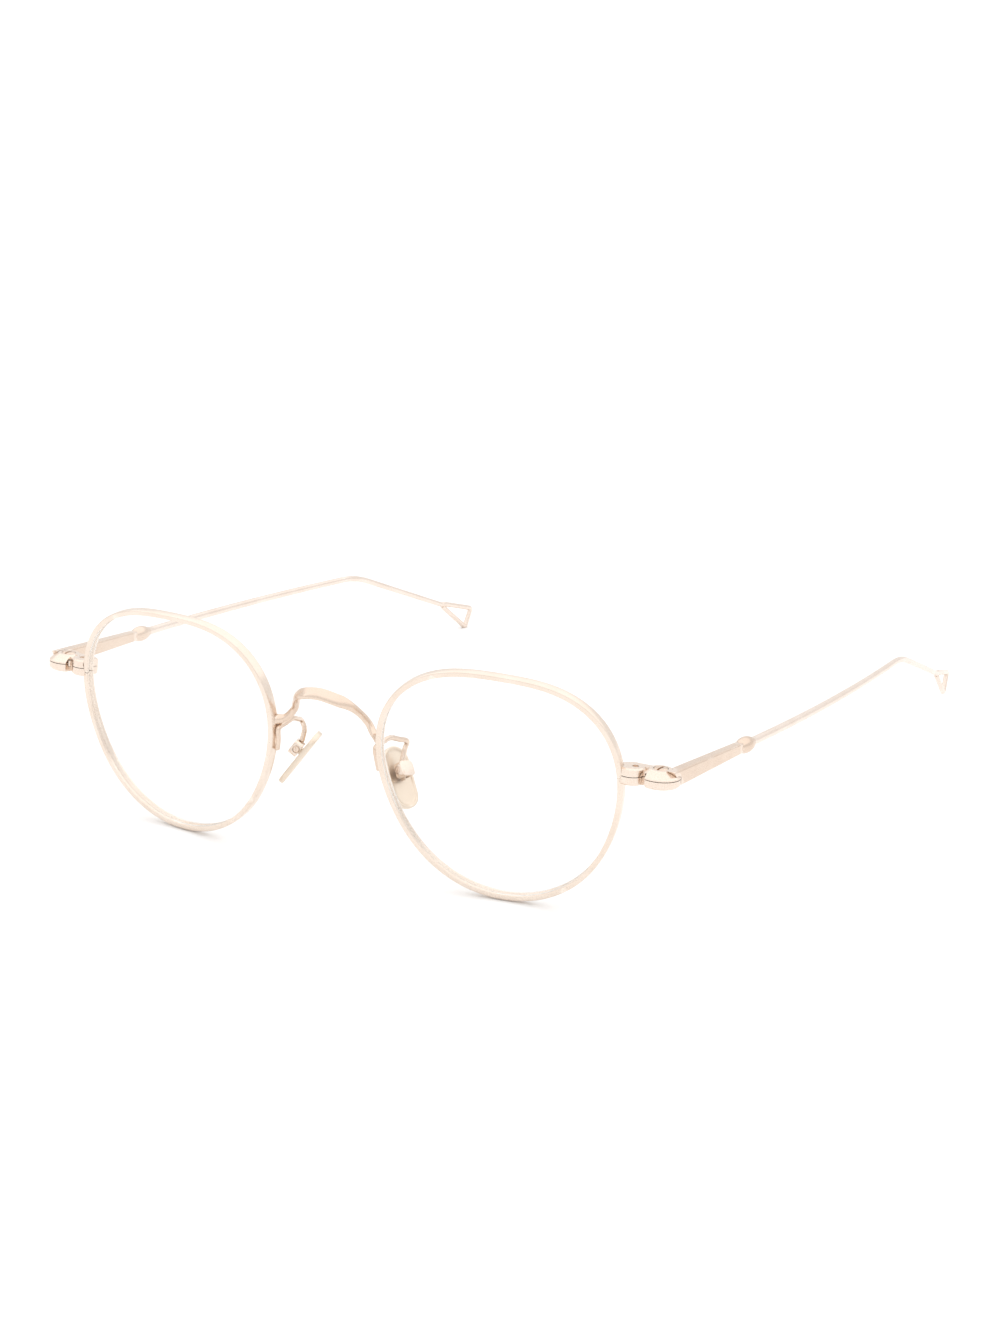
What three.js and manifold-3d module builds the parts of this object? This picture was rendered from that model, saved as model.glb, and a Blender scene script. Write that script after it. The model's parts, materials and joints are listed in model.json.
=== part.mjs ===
// Round wire eyeglasses: grooved rims with lenses, a saddle bridge, end pieces of two stacked plates
// with a screw hinge each, temples that end in wire loops, and nose pads on wire arms.
//
// Millimetres. X runs to the wearer's left, Y back along the temples and Z up. The pieces of one side
// are made for the wearer's left, +X, and mirrored for the right.

import * as THREE from 'three';
import { mergeVertices } from 'three/addons/utils/BufferGeometryUtils.js';
import Module from 'manifold-3d';

const wasm = await Module();
wasm.setup();

const { degToRad, lerp, smoothstep } = THREE.MathUtils;

// Rims: the wire's centreline is a radius that changes with the angle from the temple side.
const LENS_CENTRE = new THREE.Vector3(32.85, 0, 0.15);
const FACE_WRAP = degToRad(7.9);
const RIM_RADIUS = 21.72;
const OVALITY = 0.48;
const LEAN = -0.43;
const PANTO = 1.0;
const SQUARENESS = -0.38;
const RIM_THICKNESS = 1.0;
const RIM_DEPTH = 1.9;
const RIM_CHAMFER = 0.2;
const GROOVE_DEPTH = 0.45;
const GROOVE_WIDTH = 0.9;
const RIM_SEGMENTS = 72;

// Lenses: shallow shells whose bevelled edge sits in the groove.
const LENS_FRONT_CURVE = 130;
const LENS_BACK_CURVE = 125;
const LENS_EDGE_FRONT = 0.8;
const LENS_EDGE_BACK = -0.9;
const LENS_RINGS = 2;
const LENS_GAP = 0.06;

// Gap between pieces that are brazed or rest on each other.
const JOINT_GAP = 0.05;

// End pieces: an inner lobe that closes the rim and an outer lobe that carries the hinge.
const HINGE_PLACE = new THREE.Vector3(60.7, 5.5, 4.45);
const INNER_LOBE = new THREE.Vector2(-4.7, -1.4);
const INNER_LOBE_RADIUS = 2.4;
const OUTER_LOBE_RADIUS = 3.53;
const PLATE_THICKNESS = 1.45;
const SPLIT_GAP = 0.12;
const PLATE_CHAMFER = 0.2;
const OUTER_LOBE_CHAMFER = 0.4;

// The upper outer lobe narrows to its top: radius, and height above the split, at each crease.
const SHOULDER = [[3.5, 0.24], [2.9, 0.8], [2.35, 1.12], [1.95, PLATE_THICKNESS]];

const NECK_BACK = 0.7;
const VALLEY_SLOT = { x: -1.98, width: 0.85, back: -1.7 };

// Hinge: the tongue turns in a slot between the plates, round the hinge screw.
const TONGUE_RADIUS = 2.6;
const TONGUE_INNER_FLANK = 1.0;
const TONGUE_THICKNESS = 1.1;
const TONGUE_CLEARANCE = 0.1;
const HINGE_SHAFT_RADIUS = 0.7;
const RUNNING_CLEARANCE = 0.06;
const HINGE_HEAD = { radius: 1.25, depth: 0.6, crown: 0.12 };
const LOCK_SCREW_X = -4.1;
const LOCK_SHAFT_RADIUS = 0.5;
const LOCK_HEAD = { radius: 0.9, depth: 0.6, crown: 0.05 };
const LOCK_FOOT_RECESS = 0.3;
const LOCK_HEAD_RECESS = 0.05;
const CROWN_EDGE = 0.72;
const DRIVER_SLOT = { width: 0.35, depth: 0.3 };

// Temples: the butt runs beside the hinge's axis, and a bead joins it to the wire.
const OPEN_STOP_YAW = degToRad(4.72);
const BUTT_OFFSET = 2.13;
const BUTT_START = 0.3;
const BUTT_SLANT = 0.9;
const BUTT_LIFT = 0.1;
const BUTT_THICKNESS = { front: 2.2, back: 1.75 };
const BUTT_HEIGHT = { front: 3.0, back: 1.9 };
const BUTT_CORNER = 0.45;
const BUTT_CLEARANCE = 0.12;
const BEAD_START = 25.2;
const BEAD_LENGTH = 4.8;
const BEAD_RADIUS = { end: 1.0, middle: 1.5 };
const WIRE_RADIUS = { front: 0.8, back: 0.56 };
const INWARD_BEND_START = 32;
const INWARD_CURVATURE = 0.0017;
const EAR_BEND_START = 100.8;
const EAR_BEND_RADIUS = 30.9;
const EAR_BEND_ANGLE = degToRad(18);
const WIRE_END = 140.4;

// End loops: a triangle of wire with rounded corners, standing in the temple's upright plane.
const LOOP_SIDE = 10.6;
const LOOP_HALF_ANGLE = degToRad(12.6);
const LOOP_DROOP = degToRad(5);
const LOOP_CORNER = 0.9;
const LOOP_WIRE_RADIUS = 0.55;

// Bridge: a rod between the rims, flattened to a strap over the nose. Half of its line, from the nose out.
const BRIDGE_LINE = [[0, -4.9, 12.75], [3.0, -4.8, 12.3], [5.1, -3.6, 11.1], [6.5, -1.9, 9.0],
  [7.6, -0.9, 6.9], [9.0, -1.5, 5.3], [11.1, -2.6, 4.8]];
const BRIDGE_RADIUS = 0.68;
const STRAP_HALF_WIDTH = 1.15;
const STRAP_HALF_THICKNESS = 0.5;
const STRAP_LEAN = degToRad(45);
const STRAP_REACH = { full: 3.8, none: 6.6 };

// Pad arms: a foot brazed along the rim, then a wire that loops back to the nose pad.
const ARM_RADIUS = 0.47;
const ARM_FOOT_ANGLES = [182, 177, 172];
const ARM_FOOT_DEPTH = -0.35;
const ARM_LINE = [[9.9, -0.2, 3.5], [10.0, 2.2, 3.35], [10.45, 4.8, 2.1], [10.9, 6.7, 1.0], [10.4, 6.85, -0.5]];

// Nose pads: a plate with a raised border, a stem, and a clip on the arm that holds the stem by a screw.
const PAD_PLACE = new THREE.Vector3(10.3, 4.85, -5.5);
const PAD_UP = new THREE.Vector3(-0.496, 0.431, 0.754);
const PAD_OUT = new THREE.Vector3(0.797, -0.135, 0.589);
const PAD_LENGTH = 11.8;
const PAD_WIDTH = 5.8;
const PAD_THICKNESS = 1.0;
const PAD_BORDER = { width: 0.5, height: 0.25 };
const CLIP_UP = 0.95;
const CLIP_WIDTH = 3.1;
const CLIP_LENGTH = 2.8;
const CLIP_CORNER = 0.4;
const CLIP_BASE = 0.85;
const CLIP_ROOF = 2.5;
const CLIP_SLOT = { width: 1.2, roof: 2.15 };
const STEM = { width: 1.0, length: 1.3, top: 2.0 };
const PAD_SCREW_HEIGHT = 1.5;
const PAD_SCREW_RADIUS = 0.28;
const PAD_SCREW_HEAD = { radius: 0.62, depth: 0.25, crown: 0.04 };

// Smoothness of round pieces.
const ROUND_SIDES = 24;
const WIRE_SIDES = 8;
const CORNER_SEGMENTS = 3;
const WELD_DISTANCE = 1e-4;

const SIDES = [
  { name: 'left', pitch: degToRad(9.14), restYaw: OPEN_STOP_YAW },
  { name: 'right', pitch: degToRad(10.7), restYaw: 0 },
];

const ROSE_GOLD = new THREE.MeshStandardMaterial({ color: 0xe3bd9c, metalness: 1, roughness: 0.36 });
const PALE_GOLD = new THREE.MeshStandardMaterial({ color: 0xd9c19b, metalness: 1, roughness: 0.42 });
const SCREW_STEEL = new THREE.MeshStandardMaterial({ color: 0xc9a98c, metalness: 1, roughness: 0.3 });
const CLEAR = new THREE.MeshStandardMaterial({ color: 0xf4f7f6, roughness: 0.03, transparent: true, opacity: 0.15 });

// ---- Closed meshes and booleans ----

function welded(geometry) {
  const plain = geometry.clone();
  plain.deleteAttribute('normal');
  plain.deleteAttribute('uv');
  const merged = mergeVertices(plain, WELD_DISTANCE);
  const corners = Array.from(merged.index.array);
  const kept = [];
  for (let i = 0; i < corners.length; i += 3) {
    const [a, b, c] = corners.slice(i, i + 3);
    if (a !== b && b !== c && c !== a) kept.push(a, b, c);
  }
  merged.setIndex(kept);
  return merged;
}

function toSolid(geometry, matrix = new THREE.Matrix4()) {
  const mesh = welded(geometry).applyMatrix4(matrix);
  return new wasm.Manifold(new wasm.Mesh({
    numProp: 3,
    vertProperties: mesh.attributes.position.array,
    triVerts: Uint32Array.from(mesh.index.array),
  }));
}

function toGeometry(solid) {
  const { vertProperties, triVerts } = solid.getMesh();
  const geometry = new THREE.BufferGeometry();
  geometry.setAttribute('position', new THREE.BufferAttribute(vertProperties, 3));
  geometry.setIndex(new THREE.BufferAttribute(triVerts, 1));
  return geometry;
}

function joined(...solids) {
  return solids.reduce((whole, next) => whole.add(next));
}

function cut(solid, ...cutters) {
  return cutters.reduce((left, next) => left.subtract(next), solid);
}

// Applies a matrix that may mirror. Reading the corners backwards turns the faces out again.
function toFacing(geometry, matrix) {
  geometry.applyMatrix4(matrix);
  if (matrix.determinant() < 0) geometry.index.array.reverse();
  return geometry;
}

// The other side's copy.
function mirrored(geometry) {
  return toFacing(geometry.clone(), new THREE.Matrix4().makeScale(-1, 1, 1));
}

function mirrorPlacing(group) {
  group.position.x *= -1;
  group.quaternion.y *= -1;
  group.quaternion.z *= -1;
}

// ---- Shared shapes ----

// A turned piece about Z, from [radius, height] pairs listed upwards on the outside.
function turned(profile, segments = ROUND_SIDES) {
  const points = profile.map(([radius, height]) => new THREE.Vector2(radius, height));
  return new THREE.LatheGeometry(points, segments).rotateX(Math.PI / 2);
}

function cylinder(radius, low, high) {
  return turned([[0, low], [radius, low], [radius, high], [0, high]]);
}

function slab(shape, low, high) {
  const depth = high - low;
  return new THREE.ExtrudeGeometry(shape, { depth, bevelEnabled: false, curveSegments: CORNER_SEGMENTS }).translate(0, 0, low);
}

function box(width, length, height, x, y, z) {
  return new THREE.BoxGeometry(width, length, height).translate(x, y, z);
}

function roundedRectangle(width, height, corner) {
  const x = width / 2 - corner;
  const y = height / 2 - corner;
  const quarter = Math.PI / 2;
  const shape = new THREE.Shape();
  shape.absarc(x, y, corner, 0, quarter);
  shape.absarc(-x, y, corner, quarter, 2 * quarter);
  shape.absarc(-x, -y, corner, 2 * quarter, 3 * quarter);
  shape.absarc(x, -y, corner, 3 * quarter, 4 * quarter);
  shape.closePath();
  return shape;
}

function placeOf([x, y, z]) {
  return new THREE.Vector3(x, y, z);
}

// A wire along a curve. A thin needle is extruded along it, and each corner then moves out to the
// half-widths that the section has there: the first along widthAxis, the second across it.
function wire(curve, steps, sides, widthAxis, halfWidthsAt) {
  const needle = 0.01;
  const corners = Array.from({ length: sides }, (_, i) => {
    const angle = (i / sides) * 2 * Math.PI;
    return new THREE.Vector2(Math.cos(angle), Math.sin(angle)).multiplyScalar(needle);
  });
  const geometry = welded(new THREE.ExtrudeGeometry(new THREE.Shape(corners), { steps, extrudePath: curve }));
  const centres = curve.getSpacedPoints(steps);
  const tangents = centres.map((_, i) => curve.getTangentAt(i / steps));
  const position = geometry.attributes.position;
  const corner = new THREE.Vector3();
  for (let i = 0; i < position.count; i += 1) {
    corner.fromBufferAttribute(position, i);
    const distances = centres.map((centre) => centre.distanceToSquared(corner));
    const nearest = distances.indexOf(Math.min(...distances));
    const across = new THREE.Vector3().crossVectors(tangents[nearest], widthAxis).normalize();
    const along = new THREE.Vector3().crossVectors(across, tangents[nearest]);
    const offset = corner.clone().sub(centres[nearest]);
    const [halfWidth, halfThickness] = halfWidthsAt(nearest / steps, centres[nearest]);
    corner.copy(centres[nearest]);
    corner.addScaledVector(along, (offset.dot(along) / needle) * halfWidth);
    corner.addScaledVector(across, (offset.dot(across) / needle) * halfThickness);
    position.setXYZ(i, ...corner);
  }
  return geometry;
}

// A screw about Z, head up. Its length runs from foot to the head's rim.
function screw(shaftRadius, head, foot, top) {
  const seat = top - head.depth;
  const crownEdge = head.radius * CROWN_EDGE;
  const body = turned([[0, foot], [shaftRadius, foot], [shaftRadius, seat], [head.radius, seat],
    [head.radius, top], [crownEdge, top + head.crown], [0, top + head.crown]]);
  const slotTop = top + head.crown;
  const slotLow = slotTop - DRIVER_SLOT.depth;
  const slot = box(2 * head.radius + 1, DRIVER_SLOT.width, 1, 0, 0, slotLow + 0.5);
  return cut(toSolid(body), toSolid(slot));
}

// ---- Rims and lenses, in the lens's frame: X to the temple, Y up, Z forward ----

function rimRadius(angle) {
  return RIM_RADIUS + OVALITY * Math.cos(2 * angle) + LEAN * Math.sin(2 * angle)
    + PANTO * Math.sin(3 * angle) + SQUARENESS * Math.cos(4 * angle);
}

// Turns a round ring about Z into one that follows the rim's outline.
function followOutline(geometry) {
  const position = geometry.attributes.position;
  for (let i = 0; i < position.count; i += 1) {
    const x = position.getX(i);
    const y = position.getY(i);
    const growth = rimRadius(Math.atan2(y, x)) / RIM_RADIUS;
    position.setXY(i, x * growth, y * growth);
  }
  return geometry;
}

const RIM_OUTER = RIM_RADIUS + RIM_THICKNESS / 2;
const RIM_INNER = RIM_RADIUS - RIM_THICKNESS / 2;
const RIM_HALF_DEPTH = RIM_DEPTH / 2;

function rimRing() {
  const half = RIM_HALF_DEPTH;
  const groove = GROOVE_WIDTH / 2;
  return followOutline(turned([
    [RIM_INNER, -half],
    [RIM_OUTER - RIM_CHAMFER, -half],
    [RIM_OUTER, -half + RIM_CHAMFER],
    [RIM_OUTER, half - RIM_CHAMFER],
    [RIM_OUTER - RIM_CHAMFER, half],
    [RIM_INNER, half],
    [RIM_INNER, groove],
    [RIM_INNER + GROOVE_DEPTH, 0],
    [RIM_INNER, -groove],
    [RIM_INNER, -half],
  ], RIM_SEGMENTS));
}

// The room that the rim and its lens take, for cutting what is brazed to the rim.
function rimRoom() {
  const outer = RIM_OUTER + JOINT_GAP;
  const half = RIM_HALF_DEPTH + JOINT_GAP;
  const reach = 4 * RIM_HALF_DEPTH;
  return followOutline(turned([
    [0, -reach], [RIM_RADIUS, -reach], [RIM_RADIUS, -half], [outer, -half],
    [outer, half], [RIM_RADIUS, half], [RIM_RADIUS, reach], [0, reach],
  ], RIM_SEGMENTS));
}

function makeRim(hingeInLens) {
  const reach = 6;
  const split = box(reach, reach, SPLIT_GAP, INNER_LOBE.x, INNER_LOBE.y, 0);
  return cut(toSolid(rimRing()), toSolid(split, hingeInLens));
}

function sphereDrop(radius, curve) {
  return curve - Math.sqrt(curve * curve - radius * radius);
}

function makeLens() {
  const edge = RIM_INNER - LENS_GAP;
  const bevel = GROOVE_WIDTH / 2 - LENS_GAP;
  const frontCrown = LENS_EDGE_FRONT + sphereDrop(edge, LENS_FRONT_CURVE);
  const backCrown = LENS_EDGE_BACK + sphereDrop(edge, LENS_BACK_CURVE);
  const rings = Array.from({ length: LENS_RINGS + 1 }, (_, i) => (i / LENS_RINGS) * edge);
  const back = rings.map((radius) => [radius, backCrown - sphereDrop(radius, LENS_BACK_CURVE)]);
  const front = rings.map((radius) => [radius, frontCrown - sphereDrop(radius, LENS_FRONT_CURVE)]);
  const bevelTip = RIM_INNER + GROOVE_DEPTH - 2 * LENS_GAP;
  const profile = [...back, [edge, -bevel], [bevelTip, 0], [edge, bevel], ...front.reverse()];
  return toSolid(followOutline(turned(profile, RIM_SEGMENTS)));
}

// ---- End pieces, in the hinge's frame: Z along the hinge screw, Y back along the temple's mean line ----

const PLATE_LOW = SPLIT_GAP / 2;
const PLATE_HIGH = PLATE_LOW + PLATE_THICKNESS;
const SLOT_HALF_HEIGHT = TONGUE_THICKNESS / 2 + TONGUE_CLEARANCE;

// A lobe from the creases of its side: radius, and height above the split.
function lobe(side) {
  const creases = side.map(([radius, rise]) => [radius, PLATE_LOW + rise]);
  return turned([[0, PLATE_LOW], ...creases, [0, PLATE_HIGH]]);
}

function chamferedSide(radius, chamfer) {
  return [[radius, 0], [radius, PLATE_THICKNESS - chamfer], [radius - chamfer, PLATE_THICKNESS]];
}

// A plate's body with its split face below, before its holes.
function plateBody(isUpper) {
  const inner = lobe(chamferedSide(INNER_LOBE_RADIUS, PLATE_CHAMFER)).translate(INNER_LOBE.x, INNER_LOBE.y, 0);
  const shouldered = [[OUTER_LOBE_RADIUS, 0], ...SHOULDER];
  const outer = lobe(isUpper ? shouldered : chamferedSide(OUTER_LOBE_RADIUS, OUTER_LOBE_CHAMFER));
  const neck = new THREE.Shape([
    new THREE.Vector2(INNER_LOBE.x, NECK_BACK),
    new THREE.Vector2(INNER_LOBE.x, INNER_LOBE.y),
    new THREE.Vector2(0, 0),
    new THREE.Vector2(0, NECK_BACK),
  ]);
  const { x, width, back } = VALLEY_SLOT;
  const reach = OUTER_LOBE_RADIUS + 1;
  const valley = box(width, reach, 2 * PLATE_HIGH + 1, x, back - reach / 2, 0);
  const whole = joined(toSolid(inner), toSolid(outer), toSolid(slab(neck, PLATE_LOW, PLATE_HIGH)));
  return cut(whole, toSolid(valley));
}

// The room in which the tongue turns: a round for its eye, and the corner that it sweeps when it folds.
function tongueRoom() {
  const flank = TONGUE_RADIUS + TONGUE_CLEARANCE;
  const reach = 2 * OUTER_LOBE_RADIUS;
  const low = TONGUE_INNER_FLANK - TONGUE_CLEARANCE;
  const sweep = box(flank + reach, reach - low, 2 * SLOT_HALF_HEIGHT, (flank - reach) / 2, (reach + low) / 2, 0);
  sweep.rotateZ(-OPEN_STOP_YAW);
  return joined(toSolid(cylinder(flank, -SLOT_HALF_HEIGHT, SLOT_HALF_HEIGHT)), toSolid(sweep));
}

function screwHole(shaftRadius, head, headEnd) {
  const reach = PLATE_HIGH + 1;
  const shaft = cylinder(shaftRadius + RUNNING_CLEARANCE, -reach, reach);
  const seat = PLATE_HIGH - head.depth - JOINT_GAP;
  const recess = cylinder(head.radius + RUNNING_CLEARANCE, seat, reach);
  if (headEnd < 0) recess.rotateX(Math.PI);
  return joined(toSolid(shaft), toSolid(recess));
}

// The lower plate is made split face down like the upper one, then turned over.
function makePlate(isUpper, lensInHinge) {
  const turn = new THREE.Matrix4().makeScale(1, 1, isUpper ? 1 : -1);
  const body = toSolid(toFacing(toGeometry(plateBody(isUpper)), turn));
  const hingeHole = screwHole(HINGE_SHAFT_RADIUS, HINGE_HEAD, 1);
  const lockHole = screwHole(LOCK_SHAFT_RADIUS, LOCK_HEAD, -1).translate(LOCK_SCREW_X, INNER_LOBE.y, 0);
  return cut(body, toSolid(rimRoom(), lensInHinge), tongueRoom(), hingeHole, lockHole);
}

function makeHingeScrew() {
  return screw(HINGE_SHAFT_RADIUS, HINGE_HEAD, -PLATE_HIGH, PLATE_HIGH);
}

function makeLockScrew() {
  const upright = screw(LOCK_SHAFT_RADIUS, LOCK_HEAD, LOCK_FOOT_RECESS - PLATE_HIGH, PLATE_HIGH - LOCK_HEAD_RECESS);
  return upright.rotate([180, 0, 0]).translate(LOCK_SCREW_X, INNER_LOBE.y, 0);
}

// ---- Temples, in the temple's frame: Y back along the butt, X out, Z along the hinge screw ----

// The temple's centreline: straight, then curving in, with the ear bend turning down.
function templeLine(from, to) {
  const step = 1;
  const count = Math.round((to - from) / step);
  const places = [new THREE.Vector3(BUTT_OFFSET, from, 0)];
  for (let i = 0; i < count; i += 1) {
    const s = from + (i + 0.5) * step;
    const direction = templeDirection(s);
    places.push(places[i].clone().addScaledVector(direction, (to - from) / count));
  }
  return new THREE.CatmullRomCurve3(places);
}

function templeDirection(s) {
  const heading = INWARD_CURVATURE * Math.max(0, s - INWARD_BEND_START);
  const drop = Math.min(Math.max(0, s - EAR_BEND_START) / EAR_BEND_RADIUS, EAR_BEND_ANGLE);
  return new THREE.Vector3(-Math.sin(heading) * Math.cos(drop), Math.cos(heading) * Math.cos(drop), -Math.sin(drop));
}

// The room that the plates' outer lobes take as the temple turns round them.
function lobeRoom() {
  const reach = PLATE_HIGH + 1;
  const grown = (radius) => radius + BUTT_CLEARANCE;
  const shoulder = SHOULDER.map(([radius, rise]) => [grown(radius), PLATE_LOW + rise + BUTT_CLEARANCE / 2]);
  const [topRadius] = shoulder.at(-1);
  const foot = grown(OUTER_LOBE_RADIUS);
  return turned([[0, -reach], [foot, -reach], [foot, PLATE_LOW], ...shoulder, [topRadius, reach], [0, reach]]);
}

// The bar's front end slants: its top reaches forward over the shoulder of the upper lobe.
function makeButt() {
  const length = BEAD_START - JOINT_GAP - BUTT_START;
  const section = roundedRectangle(1, 1, BUTT_CORNER / BUTT_HEIGHT.front);
  const bar = slab(section, 0, length).rotateX(-Math.PI / 2);
  const position = bar.attributes.position;
  for (let i = 0; i < position.count; i += 1) {
    const t = position.getY(i) / length;
    const x = BUTT_OFFSET + position.getX(i) * lerp(BUTT_THICKNESS.front, BUTT_THICKNESS.back, t);
    const z = position.getZ(i) * lerp(BUTT_HEIGHT.front, BUTT_HEIGHT.back, t) + lerp(BUTT_LIFT, 0, t);
    const y = BUTT_START + position.getY(i) - lerp(BUTT_SLANT, 0, t) * z;
    position.setXYZ(i, x, y, z);
  }
  const half = TONGUE_THICKNESS / 2;
  const neckLength = OUTER_LOBE_RADIUS + 1;
  const neckWidth = TONGUE_RADIUS - TONGUE_INNER_FLANK;
  const neckX = (TONGUE_RADIUS + TONGUE_INNER_FLANK) / 2;
  const neck = box(neckWidth, neckLength, TONGUE_THICKNESS, neckX, neckLength / 2, 0);
  const shaftRoom = cylinder(HINGE_SHAFT_RADIUS + RUNNING_CLEARANCE, -PLATE_HIGH, PLATE_HIGH);
  const tongue = joined(toSolid(cylinder(TONGUE_RADIUS, -half, half)), toSolid(neck));
  return cut(joined(cut(toSolid(bar), toSolid(lobeRoom())), tongue), toSolid(shaftRoom));
}

function makeBead() {
  const steps = 6;
  const profile = [[0, 0]];
  for (let i = 0; i <= steps; i += 1) {
    const t = i / steps;
    profile.push([lerp(BEAD_RADIUS.end, BEAD_RADIUS.middle, Math.sin(Math.PI * t)), t * BEAD_LENGTH]);
  }
  profile.push([0, BEAD_LENGTH]);
  return toSolid(turned(profile, 20).rotateX(-Math.PI / 2).translate(BUTT_OFFSET, BEAD_START, 0));
}

const WIRE_START = BEAD_START + BEAD_LENGTH + JOINT_GAP;

function makeTempleWire() {
  const steps = 38;
  const up = new THREE.Vector3(0, 0, 1);
  const taper = (t) => Array(2).fill(lerp(WIRE_RADIUS.front, WIRE_RADIUS.back, t));
  return toSolid(wire(templeLine(WIRE_START, WIRE_END), steps, WIRE_SIDES, up, taper));
}

// A triangle's corners rounded by arcs, from one end beside its apex round to the other.
class LoopLine extends THREE.Curve {
  constructor(places, corner) {
    super();
    this.path = new THREE.CurvePath();
    const last = places.length - 1;
    let from = places[0];
    for (let i = 1; i < last; i += 1) {
      const before = places[i].clone().lerp(places[i - 1], corner / places[i].distanceTo(places[i - 1]));
      const after = places[i].clone().lerp(places[i + 1], corner / places[i].distanceTo(places[i + 1]));
      this.path.add(new THREE.LineCurve3(from, before));
      this.path.add(new THREE.QuadraticBezierCurve3(before, places[i], after));
      from = after;
    }
    this.path.add(new THREE.LineCurve3(from, places[last]));
  }

  getPoint(t, target = new THREE.Vector3()) {
    return target.copy(this.path.getPoint(t));
  }
}

// The loop leaves the wire's end on its upper side and comes back below it.
function makeEndLoop() {
  const apex = new THREE.Vector3();
  const line = templeLine(WIRE_START, WIRE_END);
  const end = line.getPointAt(1);
  const forward = line.getTangentAt(1);
  const side = new THREE.Vector3(0, 0, 1).cross(forward).normalize();
  const up = new THREE.Vector3().crossVectors(forward, side).normalize();
  const apexGap = LOOP_WIRE_RADIUS + JOINT_GAP;
  const cornerAt = (angle) => apex.clone()
    .addScaledVector(forward, LOOP_SIDE * Math.cos(angle))
    .addScaledVector(up, LOOP_SIDE * Math.sin(angle));
  const upper = cornerAt(LOOP_HALF_ANGLE - LOOP_DROOP);
  const lower = cornerAt(-LOOP_HALF_ANGLE - LOOP_DROOP);
  const places = [apex.clone().addScaledVector(up, apexGap), upper, lower, apex.clone().addScaledVector(up, -apexGap)];
  const round = () => [LOOP_WIRE_RADIUS, LOOP_WIRE_RADIUS];
  const loop = wire(new LoopLine(places, LOOP_CORNER), 26, WIRE_SIDES, side, round);
  const behindWire = end.clone().addScaledVector(forward, 2 * JOINT_GAP + LOOP_WIRE_RADIUS);
  return toSolid(loop.translate(...behindWire));
}

// ---- Bridge and nose pads, in the front's frame ----

function makeBridge(rimRooms) {
  const half = BRIDGE_LINE.map(placeOf);
  const other = half.slice(1).map((place) => place.clone().setX(-place.x)).reverse();
  const line = new THREE.CatmullRomCurve3([...other, ...half]);
  const widthAxis = new THREE.Vector3(0, Math.sin(STRAP_LEAN), Math.cos(STRAP_LEAN));
  const strap = (_, place) => {
    const rodness = smoothstep(Math.abs(place.x), STRAP_REACH.full, STRAP_REACH.none);
    return [lerp(STRAP_HALF_WIDTH, BRIDGE_RADIUS, rodness), lerp(STRAP_HALF_THICKNESS, BRIDGE_RADIUS, rodness)];
  };
  return cut(toSolid(wire(line, 40, 12, widthAxis, strap)), ...rimRooms);
}

function makePadArm(lensPlacing, clipTop) {
  const offset = RIM_OUTER - RIM_RADIUS + ARM_RADIUS + JOINT_GAP;
  const foot = ARM_FOOT_ANGLES.map(degToRad).map((angle) => {
    const radius = rimRadius(angle) + offset;
    return new THREE.Vector3(radius * Math.cos(angle), radius * Math.sin(angle), ARM_FOOT_DEPTH)
      .applyMatrix4(lensPlacing);
  });
  const line = new THREE.CatmullRomCurve3([...foot, ...ARM_LINE.map(placeOf), clipTop]);
  const round = () => [ARM_RADIUS, ARM_RADIUS];
  return toSolid(wire(line, 26, WIRE_SIDES, new THREE.Vector3(1, 0, 0), round));
}

// The pad and its clip are made in the pad's frame: Y up the pad, Z out from the nose, X back.
function makePad() {
  const half = PAD_THICKNESS / 2;
  const floor = half - PAD_BORDER.height;
  const innerWidth = PAD_WIDTH - 2 * PAD_BORDER.width;
  const innerLength = PAD_LENGTH - 2 * PAD_BORDER.width;
  const plate = slab(roundedRectangle(PAD_WIDTH, PAD_LENGTH, PAD_WIDTH / 2 - 0.01), -half, half);
  const pocket = slab(roundedRectangle(innerWidth, innerLength, innerWidth / 2 - 0.01), floor, half + 1);
  const stemLow = floor - 0.1;
  const stem = box(STEM.width, STEM.length, STEM.top - stemLow, 0, CLIP_UP, (STEM.top + stemLow) / 2);
  return cut(joined(cut(toSolid(plate), toSolid(pocket)), toSolid(stem)), padScrewRoom(PAD_SCREW_RADIUS));
}

function alongX(geometry) {
  return geometry.rotateY(-Math.PI / 2).translate(0, CLIP_UP, PAD_SCREW_HEIGHT);
}

function padScrewRoom(radius) {
  return toSolid(alongX(cylinder(radius + RUNNING_CLEARANCE, -PAD_WIDTH, PAD_WIDTH)));
}

function makeClip() {
  const body = slab(roundedRectangle(CLIP_WIDTH, CLIP_LENGTH, CLIP_CORNER), CLIP_BASE, CLIP_ROOF).translate(0, CLIP_UP, 0);
  const { width, roof } = CLIP_SLOT;
  const slot = box(width, 2 * CLIP_LENGTH, roof, 0, CLIP_UP, roof / 2);
  const headSeat = CLIP_WIDTH / 2 - PAD_SCREW_HEAD.depth - JOINT_GAP / 2;
  const recess = alongX(cylinder(PAD_SCREW_HEAD.radius + RUNNING_CLEARANCE, headSeat, CLIP_WIDTH));
  return cut(toSolid(body), toSolid(slot), padScrewRoom(PAD_SCREW_RADIUS), toSolid(recess));
}

function makePadScrew() {
  const end = CLIP_WIDTH / 2;
  const upright = toGeometry(screw(PAD_SCREW_RADIUS, PAD_SCREW_HEAD, -end, end));
  return toSolid(alongX(upright));
}

// ---- Assembly ----

function addPiece(group, name, solid, material) {
  const geometry = toGeometry(solid);
  geometry.computeVertexNormals();
  const piece = new THREE.Mesh(geometry, material.clone());
  piece.name = name;
  group.add(piece);
  return piece;
}

function lensGroup() {
  const group = new THREE.Group();
  group.position.copy(LENS_CENTRE);
  group.rotation.set(Math.PI / 2, 0, FACE_WRAP, 'ZYX');
  group.updateMatrix();
  return group;
}

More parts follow.
